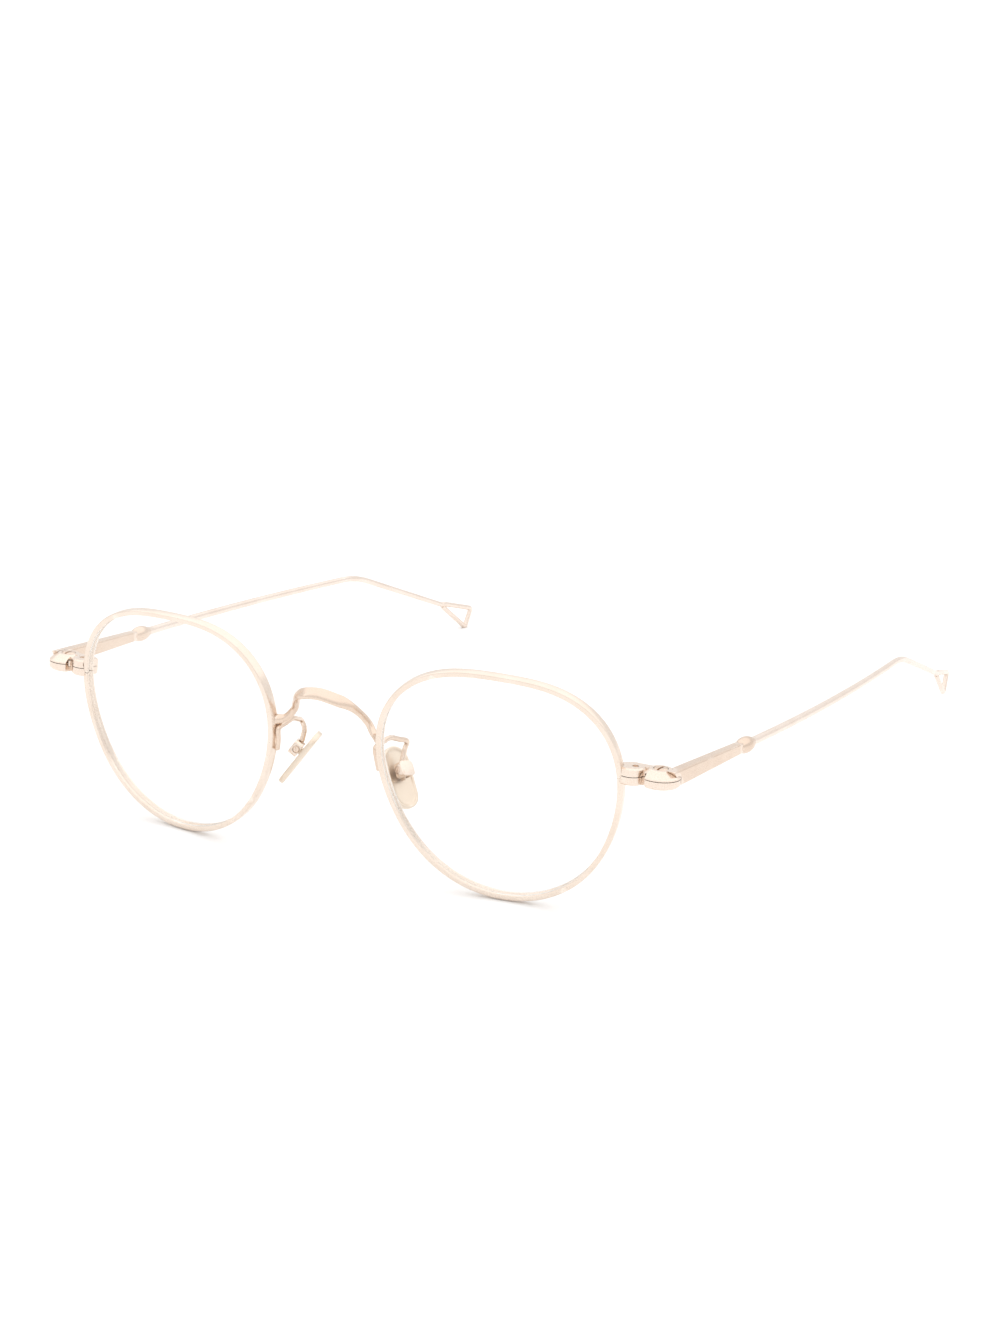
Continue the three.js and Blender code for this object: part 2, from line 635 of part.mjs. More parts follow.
function hingeGroup(pitch) {
  const group = new THREE.Group();
  group.position.copy(HINGE_PLACE);
  group.rotation.x = -pitch;
  group.updateMatrix();
  return group;
}

function padGroup() {
  const group = new THREE.Group();
  const up = PAD_UP.clone().normalize();
  const back = new THREE.Vector3().crossVectors(up, PAD_OUT).normalize();
  const out = new THREE.Vector3().crossVectors(back, up);
  group.position.copy(PAD_PLACE);
  group.quaternion.setFromRotationMatrix(new THREE.Matrix4().makeBasis(back, up, out));
  group.updateMatrix();
  return group;
}

function makeSide({ name, pitch, restYaw }) {
  const side = new THREE.Group();
  const lens = lensGroup();
  const hinge = hingeGroup(pitch);
  const temple = new THREE.Group();
  const pad = padGroup();
  temple.rotation.z = -restYaw;
  side.add(lens, hinge, pad);
  hinge.add(temple);

  const hingeInLens = lens.matrix.clone().invert().multiply(hinge.matrix);
  const lensInHinge = hingeInLens.clone().invert();
  addPiece(lens, `rim_${name}`, makeRim(hingeInLens), ROSE_GOLD);
  addPiece(lens, `lens_${name}`, makeLens(), CLEAR);

  addPiece(hinge, `upper_end_plate_${name}`, makePlate(true, lensInHinge), ROSE_GOLD);
  addPiece(hinge, `lower_end_plate_${name}`, makePlate(false, lensInHinge), ROSE_GOLD);
  addPiece(hinge, `rim_lock_screw_${name}`, makeLockScrew(), SCREW_STEEL);
  addPiece(hinge, `hinge_screw_${name}`, makeHingeScrew(), SCREW_STEEL);

  addPiece(temple, `temple_butt_${name}`, makeButt(), ROSE_GOLD);
  addPiece(temple, `temple_bead_${name}`, makeBead(), ROSE_GOLD);
  addPiece(temple, `temple_wire_${name}`, makeTempleWire(), ROSE_GOLD);
  addPiece(temple, `end_loop_${name}`, makeEndLoop(), ROSE_GOLD);

  const armReach = CLIP_LENGTH / 2 + ARM_RADIUS + JOINT_GAP;
  const clipTop = new THREE.Vector3(0, CLIP_UP + armReach, (CLIP_BASE + CLIP_ROOF) / 2).applyMatrix4(pad.matrix);
  addPiece(side, `pad_arm_${name}`, makePadArm(lens.matrix, clipTop), ROSE_GOLD);
  addPiece(pad, `pad_box_${name}`, makeClip(), ROSE_GOLD);
  addPiece(pad, `pad_screw_${name}`, makePadScrew(), SCREW_STEEL);
  addPiece(pad, `nose_pad_${name}`, makePad(), PALE_GOLD);

  if (name === 'right') {
    side.traverse((child) => {
      if (child.isMesh) child.geometry = mirrored(child.geometry);
      else mirrorPlacing(child);
    });
  }
  return side;
}

function boxOf(root, name) {
  const found = name ? root.getObjectByName(name) : root;
  return new THREE.Box3().setFromObject(found, true);
}

// The front leans until the rim and the lower temple's loop stand on one level.
function standLevel(group) {
  for (let i = 0; i < 6; i += 1) {
    group.updateMatrixWorld(true);
    const rim = boxOf(group, 'rim_right');
    const loop = boxOf(group, 'end_loop_right');
    group.rotation.x += (rim.min.z - loop.min.z) / (loop.max.y - rim.min.y);
  }
}

// The origin is below the middle of the whole, on the surface that it stands on.
function centreAbove(group) {
  group.updateMatrixWorld(true);
  const whole = boxOf(group);
  const middle = whole.getCenter(new THREE.Vector3());
  group.position.set(-middle.x, -middle.y, -whole.min.z);
}

const glasses = new THREE.Group();
const rimRoomLeft = welded(rimRoom()).applyMatrix4(lensGroup().matrix);
addPiece(glasses, 'bridge', makeBridge([toSolid(rimRoomLeft), toSolid(mirrored(rimRoomLeft))]), ROSE_GOLD);
for (const side of SIDES) glasses.add(makeSide(side));
standLevel(glasses);
centreAbove(glasses);

export default glasses;
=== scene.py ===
# Looks for the round wire eyeglasses: each CAD node gets a smooth, detailed piece in the same place.
#
# The shapes are made in millimetres in the frames that part.mjs uses, then placed in the row frame in
# metres. The pieces of a side are made as the wearer's left ones, on +X, and mirrored for the right.
import json
import math

import bmesh
import bpy
from mathutils import Matrix, Vector


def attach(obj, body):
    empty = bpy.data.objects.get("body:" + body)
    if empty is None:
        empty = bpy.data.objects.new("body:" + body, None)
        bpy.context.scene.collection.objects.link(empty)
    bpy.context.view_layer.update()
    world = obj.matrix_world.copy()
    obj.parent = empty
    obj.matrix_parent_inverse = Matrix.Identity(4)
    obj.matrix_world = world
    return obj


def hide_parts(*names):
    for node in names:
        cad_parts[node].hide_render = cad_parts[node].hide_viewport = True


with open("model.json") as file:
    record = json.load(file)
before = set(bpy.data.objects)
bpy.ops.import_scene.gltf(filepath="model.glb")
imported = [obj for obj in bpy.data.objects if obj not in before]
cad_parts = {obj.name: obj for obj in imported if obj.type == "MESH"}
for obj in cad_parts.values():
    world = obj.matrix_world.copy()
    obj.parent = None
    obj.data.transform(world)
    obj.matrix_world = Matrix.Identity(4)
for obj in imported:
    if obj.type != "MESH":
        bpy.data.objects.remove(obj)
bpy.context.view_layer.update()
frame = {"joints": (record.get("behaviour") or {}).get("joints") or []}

MM = 0.001
TAU = 2 * math.pi

# ---- Dimensions, as in part.mjs, in millimetres ----

LENS_CENTRE = Vector((32.85, 0, 0.15))
FACE_WRAP = math.radians(7.9)
RIM_RADIUS = 21.72
RIM_SHAPE = {"ovality": 0.48, "lean": -0.43, "panto": 1.0, "squareness": -0.38}
RIM_THICKNESS = 1.0
RIM_DEPTH = 1.9
GROOVE_DEPTH = 0.45
GROOVE_WIDTH = 0.9
LENS_FRONT_CURVE = 130
LENS_BACK_CURVE = 125
LENS_EDGE_FRONT = 0.8
LENS_EDGE_BACK = -0.9
LENS_GAP = 0.06
HINGE_PLACE = Vector((60.7, 5.5, 4.45))
INNER_LOBE = Vector((-4.7, -1.4))
INNER_LOBE_RADIUS = 2.4
OUTER_LOBE_RADIUS = 3.53
PLATE_THICKNESS = 1.45
SPLIT_GAP = 0.12
NECK_BACK = 0.7
VALLEY = {"x": -1.98, "width": 0.85, "back": -1.7}
SHOULDER = [(3.5, 0.24), (2.9, 0.8), (2.35, 1.12), (1.95, PLATE_THICKNESS)]
TONGUE_RADIUS = 2.6
TONGUE_INNER_FLANK = 1.0
TONGUE_THICKNESS = 1.1
TONGUE_CLEARANCE = 0.1
OPEN_STOP_YAW = math.radians(4.72)
HEAD = {"radius": 1.25, "depth": 0.6, "crown": 0.12}
LOCK_SCREW_X = -4.1
BUTT_OFFSET = 2.13
BUTT_START = 0.3
BUTT_SLANT = 0.9
BUTT_LIFT = 0.1
BUTT_THICKNESS = (2.2, 1.75)
BUTT_HEIGHT = (3.0, 1.9)
BUTT_CLEARANCE = 0.04
BEAD_START = 25.2
BEAD_LENGTH = 4.8
BEAD_RADIUS = (1.0, 1.5)
WIRE_RADIUS = (0.8, 0.56)
INWARD_BEND_START = 32
INWARD_CURVATURE = 0.0017
EAR_BEND_START = 100.8
EAR_BEND_RADIUS = 30.9
EAR_BEND_ANGLE = math.radians(18)
WIRE_END = 140.4
LOOP_SIDE = 10.6
LOOP_HALF_ANGLE = math.radians(12.6)
LOOP_DROOP = math.radians(5)
LOOP_CORNER = 0.9
LOOP_WIRE_RADIUS = 0.55
BRIDGE_LINE = [
    (0, -4.9, 12.75), (3.0, -4.8, 12.3), (5.1, -3.6, 11.1), (6.5, -1.9, 9.0),
    (7.6, -0.9, 6.9), (9.0, -1.5, 5.3), (11.1, -2.6, 4.8),
]
BRIDGE_RADIUS = 0.68
STRAP_HALF_WIDTH = 1.15
STRAP_HALF_THICKNESS = 0.5
STRAP_LEAN = math.radians(45)
STRAP_REACH = (3.8, 6.6)
ARM_RADIUS = 0.47
ARM_FOOT_ANGLES = (182, 177, 172)
ARM_FOOT_DEPTH = -0.35
ARM_LINE = [(9.9, -0.2, 3.5), (10.0, 2.2, 3.35), (10.45, 4.8, 2.1), (10.9, 6.7, 1.0), (10.4, 6.85, -0.5)]
PAD_PLACE = Vector((10.3, 4.85, -5.5))
PAD_UP = Vector((-0.496, 0.431, 0.754))
PAD_OUT = Vector((0.797, -0.135, 0.589))
PAD_LENGTH = 11.8
PAD_WIDTH = 5.8
PAD_THICKNESS = 1.0
PAD_BORDER = (0.5, 0.25)
CLIP_UP = 0.95
CLIP_WIDTH = 3.1
CLIP_LENGTH = 2.8
CLIP_BASE = 0.85
CLIP_ROOF = 2.5
CLIP_SLOT = (1.2, 2.15)
STEM = (1.0, 1.3, 2.0)
PAD_SCREW_HEIGHT = 1.5
PAD_SCREW_RADIUS = 0.28
PAD_SCREW_HEAD = (0.62, 0.25)

SIDES = {
    "left": {"pitch": math.radians(9.14), "yaw": OPEN_STOP_YAW, "mirror": 1},
    "right": {"pitch": math.radians(10.7), "yaw": 0.0, "mirror": -1},
}

RIM_OUTER = RIM_RADIUS + RIM_THICKNESS / 2
RIM_INNER = RIM_RADIUS - RIM_THICKNESS / 2
RIM_HALF_DEPTH = RIM_DEPTH / 2
PLATE_LOW = SPLIT_GAP / 2
PLATE_HIGH = PLATE_LOW + PLATE_THICKNESS
WIRE_START = BEAD_START + BEAD_LENGTH

# ---- Roundings, clearances and other fine details, in millimetres ----

RIM_LIP_ROUNDING = 0.14
RIM_BACK_ROUNDING = 0.3
GROOVE_LIP_ROUNDING = 0.08
GROOVE_FLOOR_ROUNDING = 0.1
RIM_STEPS = 288
LENS_TIP_HALF = 0.05
LENS_STEPS = 14
LENS_SIDES = 192
CENTRE_HOLE = 0.01
ROOM_CLEARANCE = 0.01
THROUGH = 3
LOWER_CHAMFER = 0.4
INNER_CHAMFER = 0.26
NECK_INSET = 0.001
HEAD_CLEARANCE = 0.07
LOCK_END_ROOM = (0.56, 0.7)
FOOT_ROOM = (0.78, 0.7)
LOCK_HEAD_ROOM = (0.97, 0.62)
HINGE_SCREW_SHAFT = 0.7
HINGE_SLOT_ANGLE = math.radians(86)
HINGE_SLOT = (0.4, 0.5)
LOCK_SCREW = {"shaft": 0.5, "head": 0.9, "depth": 0.6, "crown": 0.05}
LOCK_FOOT_RECESS = 0.3
LOCK_HEAD_RECESS = 0.05
LOCK_SLOT_ANGLE = math.radians(70)
LOCK_SLOT = (0.3, 0.28)
CROWN_EDGE = 0.72
CROWN_EDGE_RISE = 0.8
FOOT_CHAMFER = 0.15
PIN_ROOM = 0.76
BUTT_OVERLAP = 0.1
BUTT_CORNER = (0.42, 0.32)
COLLAR_LENGTH = 0.22
COLLAR_EDGE = 0.08
COLLAR_FACE = 0.9
BEAD_FULLNESS = 0.8
WIRE_OVERLAP = 0.3
WIRE_FLARE = 0.14
WIRE_FLARE_SHARE = 0.9 / 111
LOOP_GAP = 0.7 * LOOP_WIRE_RADIUS
BRIDGE_FOOT_X = 10.0
BRIDGE_FLARE = 0.3
BRIDGE_FLARE_REACH = (-0.9, 0.5)
ARM_OVERLAP = 0.25
BRAZE_OFFSET = 0.12
BRAZE_ANGLES = (182.6, 173.2)
BRAZE_STEPS = 12
BRAZE_SIZE = (0.5, 0.3)
STEM_FOOT = [(0, 0), (1.05, 0), (0.95, 0.1), (0.72, 0.22), (0.66, 0.34), (0, 0.34)]
CLIP_CORNER = 0.7
PAD_SCREW_SLOT_ANGLE = math.radians(35)
PAD_SCREW_SLOT = (0.2, 0.16)
PAD_SCREW_CROWN = 0.04
SMOOTH_ANGLE = math.radians(38)

# ---- Frames ----

joints = {joint["name"]: joint for joint in frame["joints"]}


def front_frame():
    """Where the front's millimetre frame is, from the left hinge's place and axis in the record."""
    hinge = joints["temple_fold_left"]
    axis = Vector(hinge["axis"])
    tilt = SIDES["left"]["pitch"] - math.atan2(axis.y, axis.z)
    turn = Matrix.Rotation(tilt, 4, "X")
    place = Vector(hinge["pos_m"]) - (turn @ HINGE_PLACE) * MM
    return Matrix.Translation(place) @ turn @ Matrix.Scale(MM, 4)


FRONT = front_frame()


def lens_frame():
    upright = Matrix.Rotation(math.pi / 2, 4, "X")
    return Matrix.Translation(LENS_CENTRE) @ Matrix.Rotation(FACE_WRAP, 4, "Z") @ upright


def hinge_frame(pitch):
    return Matrix.Translation(HINGE_PLACE) @ Matrix.Rotation(-pitch, 4, "X")


def pad_frame():
    up = PAD_UP.normalized()
    back = up.cross(PAD_OUT).normalized()
    out = back.cross(up)
    return Matrix.Translation(PAD_PLACE) @ Matrix((back, up, out)).transposed().to_4x4()


LENS = lens_frame()
PAD = pad_frame()

# ---- Meshes ----


def new_object(name, mesh):
    thing = bpy.data.objects.new(name, mesh)
    bpy.context.scene.collection.objects.link(thing)
    return thing


def from_rings(name, rings):
    """A closed skin over rings of points that all have the same count."""
    bm = bmesh.new()
    rows = [[bm.verts.new(point) for point in ring] for ring in rings]
    count = len(rows[0])
    for low, high in zip(rows, rows[1:]):
        for k in range(count):
            n = (k + 1) % count
            bm.faces.new((low[k], low[n], high[n], high[k]))
    bm.faces.new(list(reversed(rows[0])))
    bm.faces.new(rows[-1])
    bmesh.ops.remove_doubles(bm, verts=bm.verts, dist=1e-5)
    bmesh.ops.recalc_face_normals(bm, faces=bm.faces)
    mesh = bpy.data.meshes.new(name)
    bm.to_mesh(mesh)
    bm.free()
    return new_object(name, mesh)


def turned(name, profile, sides=96):
    """A turned shape about Z from (radius, height) pairs; the ends may lie on the axis."""
    tiny = 1e-4
    angles = [TAU * k / sides for k in range(sides)]
    rings = []
    for radius, height in profile:
        r = max(radius, tiny)
        rings.append([Vector((r * math.cos(a), r * math.sin(a), height)) for a in angles])
    return from_rings(name, rings)


def rounded(profile, radius, steps=5):
    """The profile with each inner corner replaced by a small arc."""
    points = [Vector(p) for p in profile]
    out = [points[0]]
    for before, corner, after in zip(points, points[1:], points[2:]):
        a = before - corner
        b = after - corner
        reach = min(radius, 0.45 * a.length, 0.45 * b.length)
        start = corner + a.normalized() * reach
        end = corner + b.normalized() * reach
        for i in range(steps + 1):
            t = i / steps
            out.append(start * (1 - t) ** 2 + corner * 2 * t * (1 - t) + end * t * t)
    out.append(points[-1])
    return [tuple(p) for p in out]


def prism(name, outline, low, high):
    return from_rings(name, [[Vector((x, y, z)) for x, y in outline] for z in (low, high)])


def box(name, x, y, z):
    """A block between pairs of limits."""
    return prism(name, [(x[0], y[0]), (x[1], y[0]), (x[1], y[1]), (x[0], y[1])], z[0], z[1])


def rounded_outline(width, height, corner, steps=8):
    points = []
    for quarter, (sx, sy) in enumerate(((1, 1), (-1, 1), (-1, -1), (1, -1))):
        cx = sx * (width / 2 - corner)
        cy = sy * (height / 2 - corner)
        for i in range(steps + 1):
            angle = (quarter + i / steps) * math.pi / 2
            points.append((cx + corner * math.cos(angle), cy + corner * math.sin(angle)))
    return points


def apply_modifiers(thing):
    bpy.context.view_layer.update()
    graph = bpy.context.evaluated_depsgraph_get()
    mesh = bpy.data.meshes.new_from_object(thing.evaluated_get(graph))
    thing.modifiers.clear()
    thing.data = mesh
    return thing


def combine(thing, tool, operation):
    modifier = thing.modifiers.new("combine", "BOOLEAN")
    modifier.operation = operation
    modifier.solver = "EXACT"
    modifier.object = tool
    apply_modifiers(thing)
    bpy.data.objects.remove(tool)
    return thing


def add(thing, tool):
    return combine(thing, tool, "UNION")


def cut(thing, tool):
    return combine(thing, tool, "DIFFERENCE")


def soften(thing, width, segments=3, angle=32):
    """Rounds the edges that are sharper than the angle."""
    modifier = thing.modifiers.new("soften", "BEVEL")
    modifier.width = width
    modifier.segments = segments
    modifier.limit_method = "ANGLE"
    modifier.angle_limit = math.radians(angle)
    return apply_modifiers(thing)


def moved(thing, matrix):
    thing.data.transform(matrix)
    return thing


def joined(name, *things):
    """Several meshes in one object, which overlap where they are brazed together."""
    bm = bmesh.new()
    for thing in things:
        bm.from_mesh(thing.data)
    mesh = bpy.data.meshes.new(name)
    bm.to_mesh(mesh)
    bm.free()
    for thing in things:
        bpy.data.objects.remove(thing)
    return new_object(name, mesh)


# ---- Curves ----


def mix(pair, t):
    return pair[0] + (pair[1] - pair[0]) * t


def catmull_point(points, t):
    """A point of the centripetal curve through the points, as three.js computes it."""
    last = len(points) - 1
    place = last * t
    i = min(int(place), last - 1)
    w = place - i
    p1, p2 = points[i], points[i + 1]
    p0 = points[i - 1] if i > 0 else 2 * p1 - p2
    p3 = points[i + 2] if i + 2 <= last else 2 * p2 - p1
    d0, d1, d2 = ((b - a).length_squared ** 0.25 for a, b in ((p0, p1), (p1, p2), (p2, p3)))
    m1 = ((p1 - p0) / d0 - (p2 - p0) / (d0 + d1) + (p2 - p1) / d1) * d1
    m2 = ((p2 - p1) / d1 - (p3 - p1) / (d1 + d2) + (p3 - p2) / d2) * d1
    c2 = -3 * p1 + 3 * p2 - 2 * m1 - m2
    c3 = 2 * p1 - 2 * p2 + m1 + m2
    return p1 + m1 * w + c2 * w * w + c3 * w * w * w


def spaced(points, count):
    """The same polyline with its points an even distance apart."""
    lengths = [0.0]
    for a, b in zip(points, points[1:]):
        lengths.append(lengths[-1] + (b - a).length)
    out = []
    k = 0
    for i in range(count + 1):
        want = lengths[-1] * i / count
        while k < len(lengths) - 2 and lengths[k + 1] < want:
            k += 1
        span = lengths[k + 1] - lengths[k]
        t = (want - lengths[k]) / span if span else 0
        out.append(points[k].lerp(points[k + 1], t))
    return out


def smooth_line(points, count):
    places = [Vector(p) for p in points]
    fine = 60 * (len(places) - 1)
    return spaced([catmull_point(places, i / fine) for i in range(fine + 1)], count)


def tangent_at(line, i):
    a = line[max(i - 1, 0)]
    b = line[min(i + 1, len(line) - 1)]
    return (b - a).normalized()


def tube(name, line, width_axis, half_widths, sides=28, round_ends=True):
    """A wire along a line.

    half_widths takes the share of the length and the place, and gives the half-widths along width_axis
    and across it.
    """
    last = len(line) - 1

    def ring(i, centre, scale):
        tangent = tangent_at(line, i)
        across = tangent.cross(width_axis).normalized()
        along = across.cross(tangent)
        w, t = half_widths(i / last, line[i])
        turns = [TAU * k / sides for k in range(sides)]
        return [centre + (along * (w * math.cos(a)) + across * (t * math.sin(a))) * scale for a in turns]

    def cap(i, sign):
        tangent = tangent_at(line, i) * sign
        reach = min(half_widths(i / last, line[i])) * 0.6
        steps = 6
        return [
            ring(i, line[i] + tangent * (reach * math.sin(a)), max(math.cos(a), 0.02))
            for a in (math.pi / 2 * (k / steps) for k in range(1, steps + 1))
        ]

    rings = [ring(i, line[i], 1) for i in range(last + 1)]
    if round_ends:
        rings = [*reversed(cap(0, -1)), *rings, *cap(last, 1)]
    return from_rings(name, rings)


# ---- Materials ----


def shader(name):
    material = bpy.data.materials.new(name)
    material.use_nodes = True
    nodes = material.node_tree.nodes
    return material, nodes, material.node_tree.links, nodes["Principled BSDF"]


def noise(nodes, links, vector, scale, detail=4.0, rough=0.55):
    node = nodes.new("ShaderNodeTexNoise")
    node.inputs["Scale"].default_value = scale
    node.inputs["Detail"].default_value = detail
    node.inputs["Roughness"].default_value = rough
    links.new(vector, node.inputs["Vector"])
    return node.outputs["Fac"]


def spread(nodes, links, value, low, high, source=(0.3, 0.7)):
    node = nodes.new("ShaderNodeMapRange")
    node.inputs["From Min"].default_value = source[0]
    node.inputs["From Max"].default_value = source[1]
    node.inputs["To Min"].default_value = low
    node.inputs["To Max"].default_value = high
    links.new(value, node.inputs["Value"])
    return node.outputs["Result"]


def two_colours(nodes, links, value, first, second, source=(0.3, 0.7)):
    ramp = nodes.new("ShaderNodeValToRGB")
    ramp.color_ramp.elements[0].position = source[0]
    ramp.color_ramp.elements[1].position = source[1]
    ramp.color_ramp.elements[0].color = (*first, 1)
    ramp.color_ramp.elements[1].color = (*second, 1)
    links.new(value, ramp.inputs["Fac"])
    return ramp.outputs["Color"]


def towards(nodes, links, factor, first, second):
    """The first colour socket, moved towards the second colour by the factor."""
    node = nodes.new("ShaderNodeMix")
    node.data_type = "RGBA"
    links.new(factor, node.inputs["Factor"])
    links.new(first, node.inputs[6])
    node.inputs[7].default_value = (*second, 1)
    return node.outputs[2]


def combined(nodes, links, operation, first, second):
    node = nodes.new("ShaderNodeMath")
    node.operation = operation
    for socket, value in zip(node.inputs, (first, second)):
        if isinstance(value, (int, float)):
            socket.default_value = value
        else:
            links.new(value, socket)
    return node.outputs["Value"]


def plated_metal(name, dark, light, worn, roughness, grain, stretch=(1, 1, 1)):
    """Satin plating: soft colour drift, fine drawn grain, hairline scratches and brighter worn edges."""
    material, nodes, links, surface = shader(name)
    place = nodes.new("ShaderNodeTexCoord").outputs["Object"]
    mapping = nodes.new("ShaderNodeMapping")
    mapping.inputs["Scale"].default_value = stretch
    links.new(place, mapping.inputs["Vector"])
    drawn = mapping.outputs["Vector"]
    drift = noise(nodes, links, place, 160, 3)
    fine = noise(nodes, links, drawn, grain, 6, 0.62)
    speck = noise(nodes, links, place, grain * 2.3, 2, 0.5)
    colour = two_colours(nodes, links, drift, dark, light)
    point = nodes.new("ShaderNodeNewGeometry").outputs["Pointiness"]
    edge = spread(nodes, links, point, 0, 1, (0.53, 0.6))
    broken = combined(nodes, links, "MULTIPLY", edge, spread(nodes, links, fine, 0.15, 0.9))
    colour = towards(nodes, links, broken, colour, worn)
    links.new(colour, surface.inputs["Base Color"])
    satin = spread(nodes, links, fine, *roughness)
    rough = combined(nodes, links, "ADD", satin, spread(nodes, links, speck, -0.02, 0.03))
    links.new(rough, surface.inputs["Roughness"])
    surface.inputs["Metallic"].default_value = 1.0
    scratch = nodes.new("ShaderNodeTexWave")
    scratch.inputs["Scale"].default_value = 210
    scratch.inputs["Distortion"].default_value = 18
    scratch.inputs["Detail"].default_value = 4
    scratch.inputs["Detail Scale"].default_value = 2.2
    links.new(drawn, scratch.inputs["Vector"])
    hairline = spread(nodes, links, scratch.outputs["Fac"], 0, 1, (0.0, 0.05))
    grained = combined(nodes, links, "MULTIPLY", fine, 0.7)
    height = combined(nodes, links, "ADD", grained, combined(nodes, links, "MULTIPLY", hairline, 0.3))
    bump = nodes.new("ShaderNodeBump")
    bump.inputs["Strength"].default_value = 0.22
    bump.inputs["Distance"].default_value = 0.00002
    links.new(height, bump.inputs["Height"])
    links.new(bump.outputs["Normal"], surface.inputs["Normal"])
    return material


def clear_glass(name):
    """Coated lens: nearly invisible face on, brighter at a glancing angle, with faint smears and dust."""
    material, nodes, links, surface = shader(name)
    place = nodes.new("ShaderNodeTexCoord").outputs["Object"]
    smear = noise(nodes, links, place, 90, 3, 0.5)
    dust = noise(nodes, links, place, 2600, 2, 0.5)
    weight = nodes.new("ShaderNodeLayerWeight")
    weight.inputs["Blend"].default_value = 0.12
    glance = spread(nodes, links, weight.outputs["Fresnel"], 0.02, 0.4, (0.0, 1.0))
    body = combined(nodes, links, "ADD", glance, spread(nodes, links, smear, 0.0, 0.015))
    specks = combined(nodes, links, "ADD", body, spread(nodes, links, dust, 0.0, 0.02, (0.66, 0.74)))
    links.new(specks, surface.inputs["Alpha"])
    tint = two_colours(nodes, links, smear, (0.93, 0.96, 0.95), (0.97, 0.98, 0.98))
    links.new(tint, surface.inputs["Base Color"])
    links.new(spread(nodes, links, smear, 0.015, 0.06), surface.inputs["Roughness"])
    bump = nodes.new("ShaderNodeBump")
    bump.inputs["Strength"].default_value = 0.05
    bump.inputs["Distance"].default_value = 0.00001
    links.new(dust, bump.inputs["Height"])
    links.new(bump.outputs["Normal"], surface.inputs["Normal"])
    surface.inputs["IOR"].default_value = 1.56
    surface.inputs["Coat Weight"].default_value = 0.3
    surface.inputs["Coat Roughness"].default_value = 0.02
    return material


SATIN = (0.2, 0.32)
SATIN_GRAIN = 5200
DRAWN_OUT = (1, 0.12, 1)
ROSE = plated_metal(
    "rose_gold_satin", (0.72, 0.57, 0.46), (0.78, 0.64, 0.53), (0.9, 0.79, 0.7), SATIN, SATIN_GRAIN
)
ROSE_RIM = plated_metal(
    "rose_gold_rolled", (0.79, 0.67, 0.57), (0.85, 0.74, 0.65), (0.93, 0.85, 0.77), SATIN, SATIN_GRAIN
)
ROSE_DRAWN = plated_metal(
    "rose_gold_drawn", (0.82, 0.7, 0.61), (0.88, 0.77, 0.69), (0.94, 0.87, 0.8), SATIN, SATIN_GRAIN, DRAWN_OUT
)
PALE = plated_metal(
    "pad_metal_satin", (0.74, 0.62, 0.5), (0.81, 0.7, 0.58), (0.9, 0.83, 0.75), (0.28, 0.42), 4300
)
SCREW = plated_metal(
    "screw_metal", (0.7, 0.54, 0.42), (0.79, 0.63, 0.51), (0.92, 0.8, 0.7), (0.2, 0.34), 7000
)
GLASS = clear_glass("clear_lens_glass")

# ---- Finished pieces ----


def place_piece(thing, mirror_x, node, body, local, material):
    """Puts a piece made in a local millimetre frame in the row frame, in place of its CAD node."""
    matrix = FRONT @ Matrix.Diagonal((mirror_x, 1, 1, 1)) @ local
    thing.data.transform(matrix)
    if matrix.determinant() < 0:
        thing.data.flip_normals()
    thing.name = "fine_" + node
    thing.data.name = thing.name
    for polygon in thing.data.polygons:
        polygon.use_smooth = True
    thing.data.set_sharp_from_angle(angle=SMOOTH_ANGLE)
    thing.data.materials.clear()
    thing.data.materials.append(material)
    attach(thing, body)
    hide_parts(node)


# ---- Rims and lenses ----


def rim_radius(angle):
    s = RIM_SHAPE
    return (
        RIM_RADIUS + s["ovality"] * math.cos(2 * angle) + s["lean"] * math.sin(2 * angle)
        + s["panto"] * math.sin(3 * angle) + s["squareness"] * math.cos(4 * angle)
    )


def rim_point(radius, angle, height):
    r = radius * rim_radius(angle) / RIM_RADIUS
    return Vector((r * math.cos(angle), r * math.sin(angle), height))


def rim_shaped(name, profile, sides):
    """A body with the rim's outline at every (radius, height) pair of the profile."""
    rings = [[rim_point(r, TAU * k / sides, z) for k in range(sides)] for r, z in profile]
    return from_rings(name, rings)


def make_rim(split_angle):
    """A rolled wire with rounded lips and a groove for the lens, open at the end piece's split."""
    half = RIM_HALF_DEPTH
    groove = GROOVE_WIDTH / 2
    corners = [
        (RIM_INNER, 0.5 * (groove + half)), (RIM_INNER, half), (RIM_OUTER, half), (RIM_OUTER, -half),
        (RIM_INNER, -half), (RIM_INNER, -groove), (RIM_INNER + GROOVE_DEPTH, 0), (RIM_INNER, groove),
        (RIM_INNER, 0.5 * (groove + half)),
    ]
    radii = [
        RIM_LIP_ROUNDING, RIM_BACK_ROUNDING, RIM_BACK_ROUNDING, RIM_LIP_ROUNDING,
        GROOVE_LIP_ROUNDING, GROOVE_FLOOR_ROUNDING, GROOVE_LIP_ROUNDING,
    ]
    section = [corners[0]]
    for before, corner, after, radius in zip(corners, corners[1:], corners[2:], radii):
        section += rounded([before, corner, after], radius, 4)[1:-1]
    gap = SPLIT_GAP / 2 / RIM_RADIUS
    rings = []
    for i in range(RIM_STEPS + 1):
        angle = split_angle + gap + (TAU - 2 * gap) * i / RIM_STEPS
        rings.append([rim_point(radius, angle, height) for radius, height in section])
    return from_rings("rim", rings)


def sphere_drop(radius, curve):
    return curve - math.sqrt(curve * curve - radius * radius)


